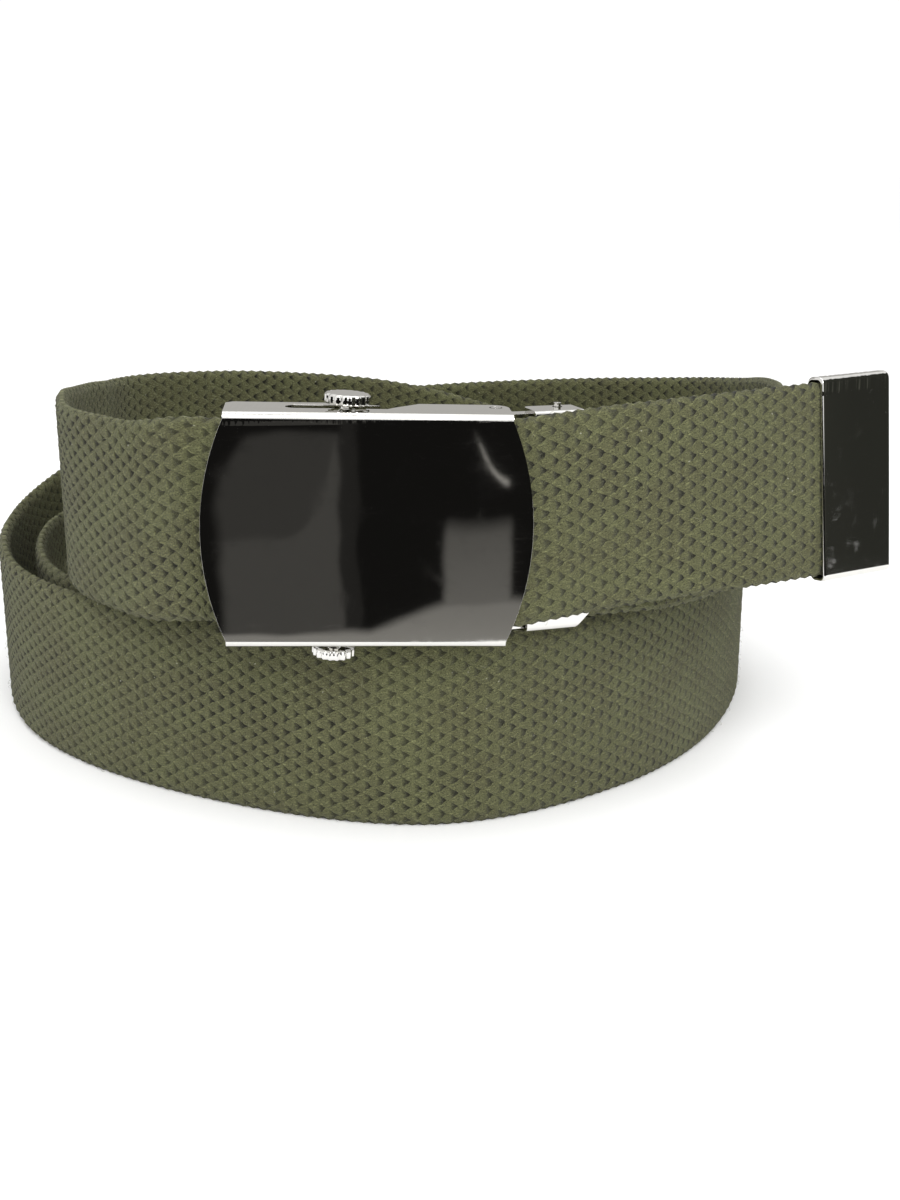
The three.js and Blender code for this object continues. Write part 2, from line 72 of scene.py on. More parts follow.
# Light fibre colour, which also paints the highlight on each knob's lit end.
YARN_AND_HIGHLIGHT_TINT = (0.21, 0.217, 0.1, 1.0)
# Painted shade in the fine gaps between yarns.
GAP_SHADE_TINT = (0.03, 0.029, 0.016, 1.0)
# Painted shadow in the hollow at one end of each knob.
HOLLOW_SHADE_TINT = (0.012, 0.012, 0.006, 1.0)
FLECK_TINT = (0.5, 0.5, 0.4, 1.0)
FIBRE_TINTS = (0.1, 0.1, 0.06, 1.0), (0.26, 0.26, 0.18, 1.0)
DULL_PLATING = (0.6, 0.59, 0.57, 1.0)
# Painted reflection of a dim room, glowing on the side card.
DIM_REFLECTION_TINTS = (0.03, 0.031, 0.026, 1.0), (0.085, 0.087, 0.072, 1.0)
# Painted reflection of a grey wall, glowing on the back card.
WALL_REFLECTION_TINT = (0.5, 0.49, 0.47, 1.0)
MIRRORED_LIGHT = (1.0, 0.97, 0.91, 1.0)
FLOOR_GRAIN = (0.9, 0.9, 0.9, 1.0)
BLACK = (0.0, 0.0, 0.0, 1.0)
WHITE = (1.0, 1.0, 1.0, 1.0)

PLATING_SMUDGE = 0.04
WORN_SMUDGE = 0.12
WORN_WAVE = 1.6
FLANGE_TOP = 67.4 * MM, 68.2 * MM
SMOOTH_UNDER = math.radians(35)
BEVEL_OVER = math.radians(40)

FLOOR_REACH = 8
CARD_LIFT = 2 * MM
KEY_PLACE = (0.1, -0.65, 0.55)
KEY_AIM = (0, 0, 0.03)
KEY_SIZE = 0.45
TOP_PLACE = (0.1, 0.1, 0.9)
TOP_AIM = (0, 0, 0)
TOP_SIZE = 0.7


class BeltWebSettings(PropertyGroup):
    """Sizes and colours of the webbing."""

    column: FloatProperty(name="Column length", default=1.95 * MM, unit="LENGTH")
    rows: IntProperty(name="Rows across", default=14, min=4)
    steps: IntProperty(name="Vertices per column and row", default=2, min=2)
    relief: FloatProperty(name="Relief", default=0.46 * MM, unit="LENGTH")
    proud: FloatProperty(name="Height over the plain face", default=0.12 * MM, unit="LENGTH")
    scallop: FloatProperty(name="Selvedge scallop", default=0.28 * MM, unit="LENGTH")
    selvedge: FloatProperty(name="Selvedge rounding", default=0.9 * MM, unit="LENGTH")
    light: FloatVectorProperty(name="Light yarn", subtype="COLOR", default=(0.106, 0.11, 0.05))
    dark: FloatVectorProperty(name="Dark yarn", subtype="COLOR", default=(0.092, 0.091, 0.043))
    seed: IntProperty(name="Seed", default=7)


class BeltFibreSettings(PropertyGroup):
    """Loose fibres that stand off the webbing."""

    count: IntProperty(name="Fibres", default=5200, min=0)
    length: FloatProperty(name="Length", default=1.1 * MM, unit="LENGTH")
    radius: FloatProperty(name="Radius", default=0.022 * MM, unit="LENGTH")
    seed: IntProperty(name="Seed", default=3)


class BeltMetalSettings(PropertyGroup):
    """Finish of the plated pieces."""

    color: FloatVectorProperty(name="Plating", subtype="COLOR", default=(0.7, 0.69, 0.66))
    edge: FloatProperty(name="Edge rounding", default=0.28 * MM, unit="LENGTH")
    roughness: FloatProperty(name="Roughness", default=0.035, min=0.0, max=1.0)
    wave: FloatProperty(name="Waviness", default=0.012 * MM, unit="LENGTH")


class BeltStageSettings(PropertyGroup):
    """Camera, floor and studio light."""

    camera: FloatVectorProperty(name="Camera", default=(8.74 * MM, -280.81 * MM, 104.5 * MM))
    pitch: FloatProperty(name="Camera pitch", default=16.5)
    lens: FloatProperty(name="Lens", default=45.0)
    floor: FloatVectorProperty(name="Floor", subtype="COLOR", default=(0.98, 0.98, 0.98))
    ambient: FloatProperty(name="Ambient", default=1.04)
    key: FloatProperty(name="Key light", default=3.8)
    top: FloatProperty(name="Top light", default=1.2)


class Socket:
    """A shader value that takes arithmetic, so that node maths reads as maths."""

    def __init__(self, tree, output):
        self.tree = tree
        self.output = output

    def math(self, operation, *others):
        node = self.tree.nodes.new("ShaderNodeMath")
        node.operation = operation
        for index, value in enumerate((self, *others)):
            feed(self.tree, node.inputs[index], value)
        return Socket(self.tree, node.outputs[0])

    def __add__(self, other):
        return self.math("ADD", other)

    def __sub__(self, other):
        return self.math("SUBTRACT", other)

    def __mul__(self, other):
        return self.math("MULTIPLY", other)

    def __truediv__(self, other):
        return self.math("DIVIDE", other)

    def __pow__(self, other):
        return self.math("POWER", other)

    def __neg__(self):
        return self * -1.0

    def __radd__(self, other):
        return self + other

    def __rsub__(self, other):
        return -self + other

    def __rtruediv__(self, other):
        return self.math("POWER", -1.0) * other

    def fraction(self):
        return self.math("FRACT")

    def ramp(self, low, high):
        """0 below low, 1 above high, smooth between them."""
        node = self.tree.nodes.new("ShaderNodeMapRange")
        node.interpolation_type = "SMOOTHSTEP"
        for name, value in (("Value", self), ("From Min", low), ("From Max", high)):
            feed(self.tree, node.inputs[name], value)
        return Socket(self.tree, node.outputs["Result"])


def feed(tree, socket, value):
    """Links a Socket to an input, or sets the input's own value."""
    if isinstance(value, Socket):
        tree.links.new(value.output, socket)
    else:
        socket.default_value = value


class Material:
    """A material under construction, with one Principled shader."""

    def __init__(self, name):
        self.data = bpy.data.materials.new(name)
        self.data.use_nodes = True
        self.tree = self.data.node_tree
        self.shader = next(n for n in self.tree.nodes if n.type == "BSDF_PRINCIPLED")

    def node(self, kind, output=0, inputs=None, **settings):
        """Adds any node and returns one of its outputs."""
        node = self.tree.nodes.new(kind)
        for name, value in settings.items():
            setattr(node, name, value)
        for name, value in (inputs or {}).items():
            feed(self.tree, node.inputs[name], value)
        return Socket(self.tree, node.outputs[output])

    def set(self, **values):
        """Sets the shader's inputs; an underscore in a name stands for a space."""
        for name, value in values.items():
            feed(self.tree, self.shader.inputs[name.replace("_", " ")], value)

    def vector(self, x, y, z=0.0):
        return self.node("ShaderNodeCombineXYZ", inputs={"X": x, "Y": y, "Z": z})

    def noise(self, place, scale, detail=2.0, roughness=0.5):
        settings = {"Vector": place, "Scale": scale, "Detail": detail, "Roughness": roughness}
        return self.node("ShaderNodeTexNoise", "Fac", settings)

    def mix(self, share, first, second):
        """Mixes two colours."""
        node = self.tree.nodes.new("ShaderNodeMix")
        node.data_type = "RGBA"
        node.clamp_factor = True
        for index, value in ((0, share), (6, first), (7, second)):
            feed(self.tree, node.inputs[index], value)
        return Socket(self.tree, node.outputs[2])

    def bump(self, height, distance, strength=1.0):
        inputs = {"Height": height, "Distance": distance, "Strength": strength}
        return self.node("ShaderNodeBump", inputs=inputs)

    def place(self, scale=None):
        """Object coordinates, scaled along each axis if a scale is given."""
        place = self.node("ShaderNodeTexCoord", "Object")
        if scale is None:
            return place
        return self.node("ShaderNodeMapping", 0, {"Vector": place, "Scale": scale})

    def part_of(self, place, axis):
        """One axis of a vector."""
        return self.node("ShaderNodeSeparateXYZ", axis, {"Vector": place})


def rgba(color):
    return (*color, 1.0)


# Webbing

def rings_of(mesh):
    """The web's cross-sections in order from the clamp's end, as an array of rings of points."""
    points = np.array([v.co for v in mesh.vertices])
    unique, index = np.unique(np.round(points, 7), axis=0, return_inverse=True)
    index = index.reshape(-1)
    mesh.calc_loop_triangles()
    triangles = np.array([index[list(t.vertices)] for t in mesh.loop_triangles])
    sides = np.stack([triangles, np.roll(triangles, -1, axis=1)], axis=2).reshape(-1, 2)
    lengths = np.linalg.norm(unique[sides[:, 0]] - unique[sides[:, 1]], axis=1).reshape(-1, 3)
    in_cap = ~((lengths > STEP_SHORTEST) & (lengths < STEP_LONGEST)).any(axis=1)
    cap = np.unique(triangles[in_cap])
    low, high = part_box("clamp")
    to_clamp = np.linalg.norm(unique[cap] - np.array((low + high) / 2), axis=1)
    first = cap[np.argsort(to_clamp)[:RING_CORNERS]]
    near = [set() for _ in unique]
    for a, b in sides:
        near[a].add(b)
        near[b].add(a)
    seen = set(first)
    ring = list(first)
    rings = []
    while ring:
        rings.append(unique[ring])
        ring = sorted({b for a in ring for b in near[a]} - seen)
        seen.update(ring)
    if any(len(r) != RING_CORNERS for r in rings):
        raise RuntimeError("The web's cross-sections don't all have eight corners")
    return np.array(rings)


def unit(vectors):
    return vectors / np.linalg.norm(vectors, axis=-1, keepdims=True)


class Web:
    """The web's middle line, resampled evenly, with its outward and upward directions."""

    def __init__(self, mesh):
        rings = rings_of(mesh)
        self.centres = rings.mean(axis=1)
        order = np.argsort(rings[:, :, 2], axis=1)
        rows = np.take_along_axis(rings, order[:, :, None], axis=1)
        lower = rows[:, :RING_CORNERS // 2].mean(axis=1)
        upper = rows[:, RING_CORNERS // 2:].mean(axis=1)
        self.width = float(np.median(np.ptp(rings[:, :, 2], axis=1)))
        self.thickness = float(np.median([self.depth_of(r) for r in rings]))
        along = unit(np.gradient(self.centres, axis=0))
        self.up = unit(upper - lower)
        self.out = unit(np.cross(along, self.up))
        steps = np.linalg.norm(np.diff(self.centres, axis=0), axis=1)
        self.length = float(steps.sum())

    @staticmethod
    def depth_of(ring):
        """A cross-section's thickness, from the spread of its corners seen from above."""
        flat = ring[:, :2] - ring[:, :2].mean(axis=0)
        return 2 * np.linalg.svd(flat)[1][0] / math.sqrt(len(flat)) * 1.13

    def at(self, places):
        """Middle point, outward and upward direction at each distance along the web."""
        last = len(self.centres) - 1
        spot = np.clip(places / self.length, 0, 1) * last
        base = np.clip(spot.astype(int), 0, last - 1)
        t = (spot - base)[:, None]
        p0, p1, p2, p3 = (self.centres[np.clip(base + k, 0, last)] for k in (-1, 0, 1, 2))
        cubic = 3 * (p1 - p2) + p3 - p0
        square = 2 * p0 - 5 * p1 + 4 * p2 - p3
        middle = p1 + t / 2 * (p2 - p0 + t * (square + t * cubic))
        out = unit(self.out[base] * (1 - t) + self.out[base + 1] * t)
        up = unit(self.up[base] * (1 - t) + self.up[base + 1] * t)
        return middle, out, up


def float_height(u, v):
    """Height of the weave, 1 on a knob, where u counts columns and v rows. Columns are staggered."""
    best = np.zeros_like(u)
    for shift in (0.0, 1.0):
        du = ((u + shift) / 2 + 0.5) % 1.0 * 2 - 1
        dv = (v + shift / 2 + 0.5) % 1.0 - 0.5
        best = np.maximum(best, 1 - (du / 1.1) ** 2 - (dv / 0.6) ** 2)
    return best


def weave_mesh(web, settings):
    """The webbing as one closed mesh with its columns and rows as UVs."""
    rng = np.random.default_rng(settings.seed)
    columns = int(round(web.length / settings.column))
    stations = columns * settings.steps + 1
    across = settings.rows * settings.steps + 1
    middle, out, up = web.at(np.linspace(0, web.length, stations))
    u = np.linspace(0, columns, stations)[:, None] * np.ones(across)
    v = np.linspace(0, settings.rows, across)[None, :] * np.ones((stations, 1))
    width = (v / settings.rows - 0.5) * web.width
    inset = np.clip((np.abs(width) - web.width / 2 + settings.selvedge) / settings.selvedge, 0, 1)
    half = web.thickness / 2 * (0.3 + 0.7 * np.sqrt(1 - inset ** 2))
    scallop = settings.scallop * (inset >= 1) * (0.5 - 0.5 * np.cos(2 * np.pi * u))
    width = width - np.sign(width) * scallop
    points = []
    for side in (1, -1):
        height = float_height(u, v if side > 0 else v + 0.5)
        jitter = rng.uniform(-0.04, 0.04, u.shape) * MM
        lift = settings.proud - settings.relief * (1 - height) + jitter
        reach = side * (half + lift * (inset < 1))
        place = middle[:, None] + out[:, None] * reach[..., None] + up[:, None] * width[..., None]
        points.append(place)
    points = np.concatenate([points[0], points[1][:, ::-1]], axis=1)
    loop = points.shape[1]
    index = np.arange(stations * loop).reshape(stations, loop)
    following = np.roll(index, -1, axis=1)
    quads = np.stack([index[:-1], index[1:], following[1:], following[:-1]], axis=-1).reshape(-1, 4)
    mesh = bpy.data.meshes.new("web")
    faces = quads.tolist() + [index[0].tolist(), index[-1][::-1].tolist()]
    mesh.from_pydata(points.reshape(-1, 3).tolist(), [], faces)
    column_marks = np.repeat(u[:, :1], loop, axis=1)
    row_marks = np.concatenate([v, v[:, ::-1]], axis=1)
    marks = np.stack([column_marks, row_marks], axis=-1)
    layer = mesh.uv_layers.new(name="weave")
    corner = np.empty(len(mesh.loops), int)
    mesh.loops.foreach_get("vertex_index", corner)
    layer.uv.foreach_set("vector", marks.reshape(-1, 2)[corner].astype(np.float32).ravel())
    mesh.shade_smooth()
    mesh.validate()
    bm = bmesh.new()
    bm.from_mesh(mesh)
    bmesh.ops.recalc_face_normals(bm, faces=bm.faces)
    bm.to_mesh(mesh)
    bm.free()
    return mesh


def web_material(settings):
    """Staggered yarn knobs with fibres along them, a painted shadow in the hollow at one end of each
    and a painted highlight at the other, painted shade in the fine gaps, and flecks.
    """
    m = Material("olive_webbing")
    uv = m.node("ShaderNodeUVMap", uv_map="weave")
    u = m.part_of(uv, "X")
    v = m.part_of(uv, "Y")
    patch = m.noise(m.vector(u * 0.16, v * 0.3), 1.0, 2.0)
    # Slow noise that sets how deep the painted hollow shadow is.
    shade_depth = m.noise(m.vector(u * 0.05, v * 0.16, 2.0), 1.0, 1.0)
    flat_u, flat_v = u, v
    u = u + (m.noise(m.vector(flat_u, flat_v), 0.9, 3.0, 0.6) - 0.5) * 0.7
    v = v + (m.noise(m.vector(flat_u, flat_v, 4.0), 0.9, 3.0, 0.6) - 0.5) * 0.5
    knobs = []
    for shift in (0.0, 1.0):
        du = ((u + shift) / 2.0 + 0.5).fraction() * 2.0 - 1.0
        dv = (v + (shift / 2 + 0.5)).fraction() * 2.0 - 1.0
        knobs.append((du, dv, (du / 0.8) ** 2.0 + (dv / 0.9) ** 2.0))
    behind = knobs[0][2].math("GREATER_THAN", knobs[1][2])
    du, dv, far = (first + (second - first) * behind for first, second in zip(*knobs))
    # Painted highlight: the left end of each knob, which faces the light, is mixed towards the yarn
    # tint.
    root = 1.0 - du.ramp(-0.9, -0.3)
    yarn = m.noise(m.vector(u * 2.2 + v * 0.9, v * 8.0 - u * 1.6), 1.0, 3.0, 0.7)
    fine = m.noise(m.vector(flat_u * 8.0, flat_v * 12.0, 8.0), 1.0, 2.0, 0.7)
    # Painted shadow: a dark crescent in the hollow at the right end of each knob.
    shaded_hollow = (du + (dv + 0.15) ** 2.0 * 0.1 + (fine - 0.5) * 0.9).ramp(0.22, 0.68)
    spots = {"Vector": m.vector(u * 0.8, v * 0.9), "Scale": 1.0}
    fleck = m.node("ShaderNodeTexVoronoi", "Distance", spots)
    color = m.mix(patch.ramp(0.35, 0.65), rgba(settings.dark), rgba(settings.light))
    # Light fibre streaks along the yarn, plus the painted highlight at the left end of each knob.
    color = m.mix((yarn - 0.5) * 4.5 + root * 0.35, color, YARN_AND_HIGHLIGHT_TINT)
    # Painted shade in the fine gaps, where the fine noise is low and the bump sinks.
    color = m.mix((0.5 - fine) * 6.0, color, GAP_SHADE_TINT)
    # The painted hollow shadow is mixed in here.
    color = m.mix(shaded_hollow * (0.7 + shade_depth.ramp(0.35, 0.65) * 0.3), color, HOLLOW_SHADE_TINT)
    color = m.mix((1.0 - fleck.ramp(0.02, 0.06)) * 0.55, color, FLECK_TINT)
    relief = yarn * 0.9 + fine * 0.7 - far * 0.35 - shaded_hollow
    m.set(Base_Color=color, Roughness=0.92, Normal=m.bump(relief, 0.4 * MM, 0.9))
    m.shader.inputs["Sheen Weight"].default_value = 0.08
    m.shader.inputs["Sheen Roughness"].default_value = 0.5
    m.shader.inputs["Specular IOR Level"].default_value = 0.2
    return m.data


def add_piece(name, mesh, material):
    """Links a finished mesh as a piece of the belt that rides on its one body."""
    piece = bpy.data.objects.new(name, mesh)
    bpy.context.scene.collection.objects.link(piece)
    mesh.materials.clear()
    mesh.materials.append(material)
    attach(piece, "root")
    return piece


class BELT_OT_web(Operator):
    """Weaves the webbing over the web's own path"""

    bl_idname = "belt.web"
    bl_label = "Add webbing"

    def execute(self, context):
        settings = context.scene.belt_web
        web = Web(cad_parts["web"].data)
        piece = add_piece("woven_web", weave_mesh(web, settings), web_material(settings))
        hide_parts("web")
        return {"FINISHED"}


# Loose fibres

def fibre_group(settings, material):
    """Node group that scatters short bent fibres over an object's surface."""
    group = bpy.data.node_groups.new("loose_fibres", "GeometryNodeTree")
    group.interface.new_socket("Geometry", in_out="INPUT", socket_type="NodeSocketGeometry")
    sockets = {}
    for name, kind in (("Surface", "Object"), ("Count", "Int"), ("Seed", "Int"),
                       ("Length", "Float"), ("Radius", "Float"), ("Material", "Material")):
        socket = group.interface.new_socket(name, in_out="INPUT", socket_type="NodeSocket" + kind)
        sockets[name] = socket.identifier
    group.interface.new_socket("Geometry", in_out="OUTPUT", socket_type="NodeSocketGeometry")
    nodes, links = group.nodes, group.links
    given = nodes.new("NodeGroupInput").outputs

    def add(kind, wires=(), **values):
        """Adds a node, with its inputs linked or set by wires."""
        node = nodes.new(kind)
        for name, value in values.items():
            setattr(node, name, value)
        for target, source in wires:
            if isinstance(source, bpy.types.NodeSocket):
                links.new(source, node.inputs[target])
            else:
                node.inputs[target].default_value = source
        return node

    surface = add("GeometryNodeObjectInfo", [("Object", given["Surface"])]).outputs["Geometry"]
    area = add("GeometryNodeAttributeStatistic", [
        ("Geometry", surface),
        (2, add("GeometryNodeInputMeshFaceArea").outputs["Area"]),
    ], domain="FACE").outputs["Sum"]
    density = add("ShaderNodeMath", [(0, given["Count"]), (1, area)], operation="DIVIDE").outputs[0]
    points = add("GeometryNodeDistributePointsOnFaces", [
        ("Mesh", surface),
        ("Density", density),
        ("Seed", given["Seed"]),
    ])
    half = add("ShaderNodeMath", [(0, given["Length"]), (1, 0.5)], operation="MULTIPLY").outputs[0]
    bend = add("ShaderNodeCombineXYZ", [("X", half), ("Z", given["Length"])]).outputs[0]
    root = add("ShaderNodeCombineXYZ", [("Z", add("ShaderNodeMath", [
        (0, given["Radius"]), (1, -4.0),
    ], operation="MULTIPLY").outputs[0])]).outputs[0]
    tip = add("ShaderNodeCombineXYZ", [("X", given["Length"]), ("Z", half)]).outputs[0]
    arc = add("GeometryNodeCurveQuadraticBezier", [
        ("Resolution", 3), ("Start", root), ("Middle", bend), ("End", tip),
    ]).outputs[0]
    profile = add("GeometryNodeCurvePrimitiveCircle", [
        ("Resolution", 3), ("Radius", given["Radius"]),
    ]).outputs[0]
    fibre = add("GeometryNodeCurveToMesh", [("Curve", arc), ("Profile Curve", profile)]).outputs[0]
    turn = add("FunctionNodeRandomValue", [
        (2, 0.0), (3, math.tau), ("Seed", given["Seed"]),
    ], data_type="FLOAT").outputs[1]
    rotation = add("FunctionNodeRotateRotation", [
        ("Rotation", points.outputs["Rotation"]),
        ("Rotate By", add("ShaderNodeCombineXYZ", [("Z", turn)]).outputs[0]),
    ], rotation_space="LOCAL").outputs[0]
    size = add("FunctionNodeRandomValue", [
        (2, 0.3), (3, 1.0), ("Seed", given["Seed"]),
    ], data_type="FLOAT").outputs[1]
    fibres = add("GeometryNodeInstanceOnPoints", [
        ("Points", points.outputs["Points"]),
        ("Instance", fibre),
        ("Rotation", rotation),
        ("Scale", size),
    ]).outputs[0]
    real = add("GeometryNodeRealizeInstances", [("Geometry", fibres)]).outputs[0]
    above = add("ShaderNodeVectorMath", [
        (0, add("GeometryNodeInputPosition").outputs[0]), (1, (-1.0, -1.0, 0.0)),
    ], operation="MAXIMUM").outputs[0]
    raised = add("GeometryNodeSetPosition", [("Geometry", real), ("Position", above)]).outputs[0]
    shown = add("GeometryNodeSetMaterial", [
        ("Geometry", raised), ("Material", given["Material"]),
    ]).outputs[0]
    links.new(shown, nodes.new("NodeGroupOutput").inputs[0])
    return group, sockets


def grown(name, group, values):
    """The plain mesh that a node group makes from the given inputs."""
    holder = bpy.data.objects.new(name, bpy.data.meshes.new(name))
    bpy.context.scene.collection.objects.link(holder)
    modifier = holder.modifiers.new(name, "NODES")
    modifier.node_group = group
    for identifier, value in values.items():
        modifier[identifier] = value
    holder.update_tag()
    bpy.context.view_layer.update()
    evaluated = holder.evaluated_get(bpy.context.evaluated_depsgraph_get())
    mesh = bpy.data.meshes.new_from_object(evaluated)
    bpy.data.objects.remove(holder)
    return mesh


class BELT_OT_fibres(Operator):
    """Scatters loose fibres over the webbing"""

    bl_idname = "belt.fibres"
    bl_label = "Add loose fibres"

    def execute(self, context):
        settings = context.scene.belt_fibres
        m = Material("loose_fibre")
        tone = m.noise(m.place(), 400.0)
        m.set(Base_Color=m.mix(tone.ramp(0.4, 0.6), *FIBRE_TINTS), Roughness=0.8)
        group, sockets = fibre_group(settings, m.data)
        mesh = grown("loose_fibres", group, {
            sockets["Surface"]: bpy.data.objects["woven_web"],
            sockets["Count"]: settings.count,
            sockets["Seed"]: settings.seed,
            sockets["Length"]: settings.length,
            sockets["Radius"]: settings.radius,
            sockets["Material"]: m.data,
        })
        if not mesh.polygons:
            raise RuntimeError("No fibre was made")
        add_piece("loose_fibres", mesh, m.data)
        return {"FINISHED"}


# Plated metal

def metal_material(settings, name, smudge, wave):
    """Polished plating: slightly wavy, with fine scratches and smudges in its gloss."""
    m = Material(name)
    place = m.place()
    slow = m.noise(place, 55.0, 1.0)
    middle = m.noise(place, 260.0, 3.0, 0.6)
    scratch = m.noise(m.place((300.0, 300.0, 6000.0)), 1.0, 2.0)
    ripple = m.noise(m.place((1400.0, 60.0, 60.0)), 1.0, 1.0)
    ripple = ripple * m.part_of(place, "Z").ramp(*FLANGE_TOP)
    rough = settings.roughness + middle.ramp(0.5, 0.75) * smudge + scratch.ramp(0.6, 0.8) * 0.05
    m.set(
        Base_Color=m.mix(middle.ramp(0.45, 0.8) * 0.25, rgba(settings.color), DULL_PLATING),
        Metallic=1.0,
        Roughness=rough,
        Normal=m.bump(slow + middle * 0.06 + ripple * 5.0, wave),
    )
    return m.data


def smooth_group():
    """Node group that joins a node's facets, for smooth curves and edges that can be rounded."""
    group = bpy.data.node_groups.new("joined_facets", "GeometryNodeTree")
    group.interface.new_socket("Geometry", in_out="INPUT", socket_type="NodeSocketGeometry")
    group.interface.new_socket("Geometry", in_out="OUTPUT", socket_type="NodeSocketGeometry")
    nodes, links = group.nodes, group.links
    merge = nodes.new("GeometryNodeMergeByDistance")
    merge.inputs["Distance"].default_value = 0.001 * MM
    bare = nodes.new("GeometryNodeRemoveAttribute")
    bare.inputs["Name"].default_value = "custom_normal"
    smooth = nodes.new("GeometryNodeSetShadeSmooth")
    edge = nodes.new("GeometryNodeSetShadeSmooth")
    edge.domain = "EDGE"
    angle = nodes.new("GeometryNodeInputMeshEdgeAngle")
    flat = nodes.new("FunctionNodeCompare")
    flat.operation = "LESS_THAN"
    flat.inputs[1].default_value = SMOOTH_UNDER
    links.new(angle.outputs["Unsigned Angle"], flat.inputs[0])
    links.new(flat.outputs[0], edge.inputs["Shade Smooth"])
    links.new(nodes.new("NodeGroupInput").outputs[0], merge.inputs["Geometry"])
    links.new(merge.outputs[0], bare.inputs["Geometry"])
    links.new(bare.outputs[0], smooth.inputs["Geometry"])
    links.new(smooth.outputs[0], edge.inputs["Geometry"])
    links.new(edge.outputs[0], nodes.new("NodeGroupOutput").inputs[0])
    return group


class BELT_OT_metal(Operator):
    """Plates the buckle, roller, clamp, jaw and tip, and rounds their edges"""

    bl_idname = "belt.metal"
    bl_label = "Finish metal"

    def execute(self, context):
        settings = context.scene.belt_metal
        plated = metal_material(settings, "plating", PLATING_SMUDGE, settings.wave)
        worn = metal_material(settings, "worn_plating", WORN_SMUDGE, settings.wave * WORN_WAVE)
        group = smooth_group()
        for name in METAL_NODES:
            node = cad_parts.get(name)
            if node is None:
                raise RuntimeError(f"The frame has no node named {name}")
            for slot in node.material_slots:
                slot.material = worn if name in WORN_NODES else plated
            node.modifiers.new("facets", "NODES").node_group = group
            bevel = node.modifiers.new("edges", "BEVEL")
            bevel.width = settings.edge
            bevel.segments = 2
            bevel.limit_method = "ANGLE"
            bevel.angle_limit = BEVEL_OVER
            node.modifiers.new("normals", "WEIGHTED_NORMAL").keep_sharp = True
        return {"FINISHED"}


# Stage

def flat_card(name, corners, material):
    """A flat sheet of the stage."""
    mesh = bpy.data.meshes.new(name)
    mesh.from_pydata(corners, [], [(0, 1, 2, 3)])
    card = bpy.data.objects.new(name, mesh)
    bpy.context.scene.collection.objects.link(card)
    mesh.materials.append(material)
    return card


def reflection_card(name, corners, material):
    """A glowing card that shows only in glossy reflections: a painted reflection for the metal, not a
    lamp.
    """
    card = flat_card(name, corners, material)
    card.visible_camera = False
    card.visible_diffuse = False
    card.visible_shadow = False
    card.visible_transmission = False
    return card


def glow_material(name, paint):
    """A material that only glows, in the colour that paint works out for it."""
    m = Material(name)
    m.set(Base_Color=BLACK, Roughness=1.0, Emission_Strength=1.0)
    m.shader.inputs["Specular IOR Level"].default_value = 0.0
    m.set(Emission_Color=paint(m))
    return m.data


def painted_dim_reflection(m):
    """Painted reflection of a dim wall with soft upright bands, as a glow."""
    bands = m.noise(m.place((9.0, 9.0, 2.0)), 1.0, 2.0)
    return m.mix(bands.ramp(0.4, 0.7), *DIM_REFLECTION_TINTS)


def painted_face_reflection(eye):
    """Painted reflection of the buckle's face: the glowing pattern that the face mirrors to the eye,
    drawn on the front card.

    Each point of the card is carried back to the spot of the face that mirrors it: a millimetres
    across the face from its centre, and h millimetres up.
    """
    seen_from = eye - 2 * (eye - FACE_CENTRE).dot(FACE_NORMAL) * FACE_NORMAL
    across = Vector((-FACE_NORMAL.y, FACE_NORMAL.x, 0.0))
    depth = (FACE_CENTRE - seen_from).dot(FACE_NORMAL)

    def paint(m):
        place = m.place()
        x = m.part_of(place, "X") - seen_from.x
        y = m.part_of(place, "Y") - seen_from.y
        scale = depth / (x * FACE_NORMAL.x + y * FACE_NORMAL.y)
        a = (x * across.x + y * across.y) * scale / MM - (FACE_CENTRE - seen_from).dot(across) / MM
        h = ((1.0 - scale) * seen_from.z - FACE_CENTRE.z) / MM
        drift = m.noise(m.vector(a * 0.1, h * 0.1), 1.0, 1.0) - 0.5
        a = a + drift * 3.0
        h = h + drift * 2.5

        # The left half is a dim field, lighter under a rising curve.
        curve = ((a + 16.0).math("MAXIMUM", 0.0) / 11.5) ** 4.0 * 15.0 - 1.8
        corner = (a + (h - 8.0).math("MAXIMUM", 0.0) * -0.7).ramp(-22.5, -20.5)
        left = (1.0 - a.ramp(-4.6, -3.6)) * corner * (1.0 - h.ramp(13.5, 15.0))
        left = left * (0.036 + (1.0 - (h - curve).ramp(-0.5, 0.5)) * 0.022)

        # A patch at the lower right stands over a pale strip along the bottom.
        right = a.ramp(10.6, 12.4) * (1.0 - a.ramp(20.6, 21.8))
        right = right * (1.0 - h.ramp(-1.8, 2.2)) * (0.1 - h * 0.004)
        edge = a.math("MAXIMUM", 0.0).math("MINIMUM", 12.0) * 0.42 - 16.4
        low = (1.0 - (h - edge).ramp(-1.6, 0.9)) * (0.11 - h * 0.008)

        # A bright streak bends down at the upper right, and a faint band runs up the middle.
        arc = (h - (6.1 + ((20.7 - a) / 4.5) ** 2.0 * 7.2)).math("ABSOLUTE")
        streak = (1.0 - arc.ramp(0.2, 1.0)) * a.ramp(15.5, 17.0) * (1.0 - a.ramp(20.0, 21.0)) * 0.35
        band = a.ramp(-4.4, -3.4) * (1.0 - a.ramp(-1.8, -1.0)) * 0.012
        light = (left + band + streak + 0.008).math("MAXIMUM", right).math("MAXIMUM", low)
        return m.mix(light, BLACK, MIRRORED_LIGHT)

    return paint


def add_light(name, place, aim, size, power):
    """Adds a square lamp at a place, turned towards its aim."""
    data = bpy.data.lights.new(name, "AREA")
    data.shape = "SQUARE"
    data.size = size
    data.energy = power
    lamp = bpy.data.objects.new(name, data)
    bpy.context.scene.collection.objects.link(lamp)
    turn = (Vector(aim) - Vector(place)).to_track_quat("-Z", "Y").to_matrix().to_4x4()
    lamp.matrix_world = Matrix.Translation(place) @ turn


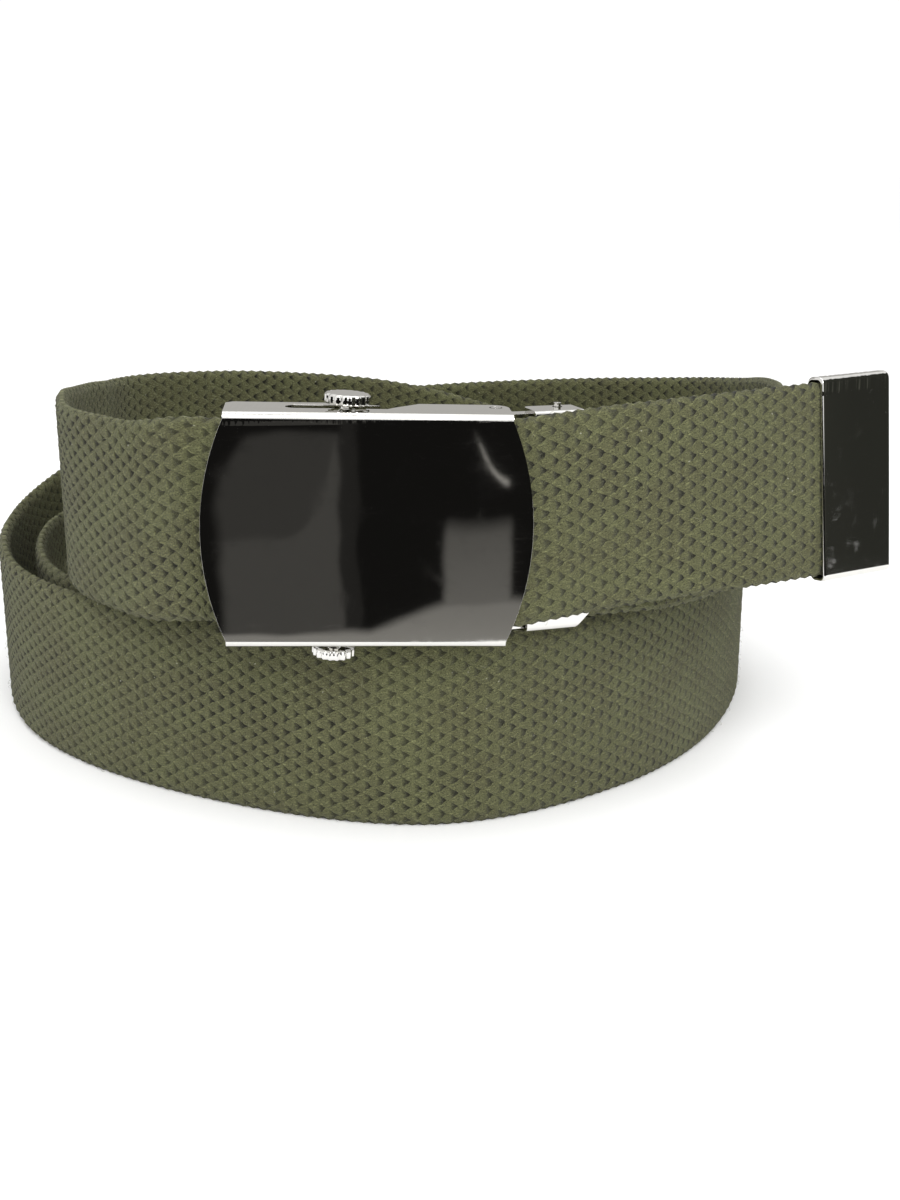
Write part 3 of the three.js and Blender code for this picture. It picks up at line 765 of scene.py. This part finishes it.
class BELT_OT_stage(Operator):
    """Adds the camera, floor, cards and studio light"""

    bl_idname = "belt.stage"
    bl_label = "Add stage"

    def execute(self, context):
        settings = context.scene.belt_stage
        scene = context.scene
        camera = bpy.data.objects.new("camera", bpy.data.cameras.new("camera"))
        scene.collection.objects.link(camera)
        camera.data.lens = settings.lens
        camera.data.clip_start = 0.01
        camera.location = settings.camera
        camera.rotation_euler = (math.radians(90 - settings.pitch), 0, 0)
        scene.camera = camera
        scene.view_settings.view_transform = "Standard"

        m = Material("floor")
        grain = m.noise(m.place(), 90.0, 3.0)
        m.set(Base_Color=m.mix(grain * 0.03, rgba(settings.floor), FLOOR_GRAIN), Roughness=0.9)
        m.shader.inputs["Specular IOR Level"].default_value = 0.1
        far = FLOOR_REACH
        flat_card("floor", [(-far, -far, 0), (far, -far, 0), (far, far, 0), (-far, far, 0)], m.data)

        z = CARD_LIFT
        # Glowing cards seen only in reflections paint the reflections in the metal: the buckle's face,
        # a dim side and a grey back.
        reflection_card("front_flag", [
            (-0.9, -1.8, z), (1.2, -1.8, z), (1.2, -0.158, z), (-0.9, -0.158, z),
        ], glow_material("painted_face_reflection", painted_face_reflection(camera.location)))
        # Painted reflection: a dim banded glow at the side, seen only in reflections.
        reflection_card("side_flag", [
            (0.24, -0.62, z), (0.46, 0.14, z), (0.46, 0.14, 0.5), (0.24, -0.62, 0.5),
        ], glow_material("painted_dim_reflection", painted_dim_reflection))
        # Painted reflection: an even grey glow behind, seen only in reflections.
        reflection_card("back_wall", [
            (-1.5, 0.9, 0.05), (1.5, 0.9, 0.05), (1.5, 0.9, 0.8), (-1.5, 0.9, 0.8),
        ], glow_material("grey_reflection_glow", lambda m: WALL_REFLECTION_TINT))

        world = bpy.data.worlds.new("studio")
        scene.world = world
        world.use_nodes = True
        background = world.node_tree.nodes["Background"]
        background.inputs["Color"].default_value = WHITE
        background.inputs["Strength"].default_value = settings.ambient
        add_light("key", KEY_PLACE, KEY_AIM, KEY_SIZE, settings.key)
        add_light("top", TOP_PLACE, TOP_AIM, TOP_SIZE, settings.top)
        return {"FINISHED"}


class BELT_PT_panel(Panel):
    """Buttons for the belt's pieces"""

    bl_idname = "BELT_PT_panel"
    bl_label = "Canvas web belt"
    bl_space_type = "VIEW_3D"
    bl_region_type = "UI"
    bl_category = "Belt"

    def draw(self, context):
        for name, operator in (("belt_web", "belt.web"), ("belt_fibres", "belt.fibres"),
                               ("belt_metal", "belt.metal"), ("belt_stage", "belt.stage")):
            box = self.layout.box()
            settings = getattr(context.scene, name)
            for prop in settings.bl_rna.properties:
                if prop.identifier not in ("rna_type", "name"):
                    box.prop(settings, prop.identifier)
            box.operator(operator)


SETTINGS = {
    "belt_web": BeltWebSettings,
    "belt_fibres": BeltFibreSettings,
    "belt_metal": BeltMetalSettings,
    "belt_stage": BeltStageSettings,
}
CLASSES = (*SETTINGS.values(), BELT_OT_web, BELT_OT_fibres, BELT_OT_metal, BELT_OT_stage, BELT_PT_panel)


def register():
    for cls in CLASSES:
        bpy.utils.register_class(cls)
    for name, cls in SETTINGS.items():
        setattr(bpy.types.Scene, name, PointerProperty(type=cls))


def unregister():
    for name in SETTINGS:
        delattr(bpy.types.Scene, name)
    for cls in reversed(CLASSES):
        bpy.utils.unregister_class(cls)


def main():
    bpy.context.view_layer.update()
    register()
    bpy.ops.belt.stage()
    bpy.ops.belt.web()
    bpy.ops.belt.fibres()
    bpy.ops.belt.metal()


if __name__ == "__main__":
    main()
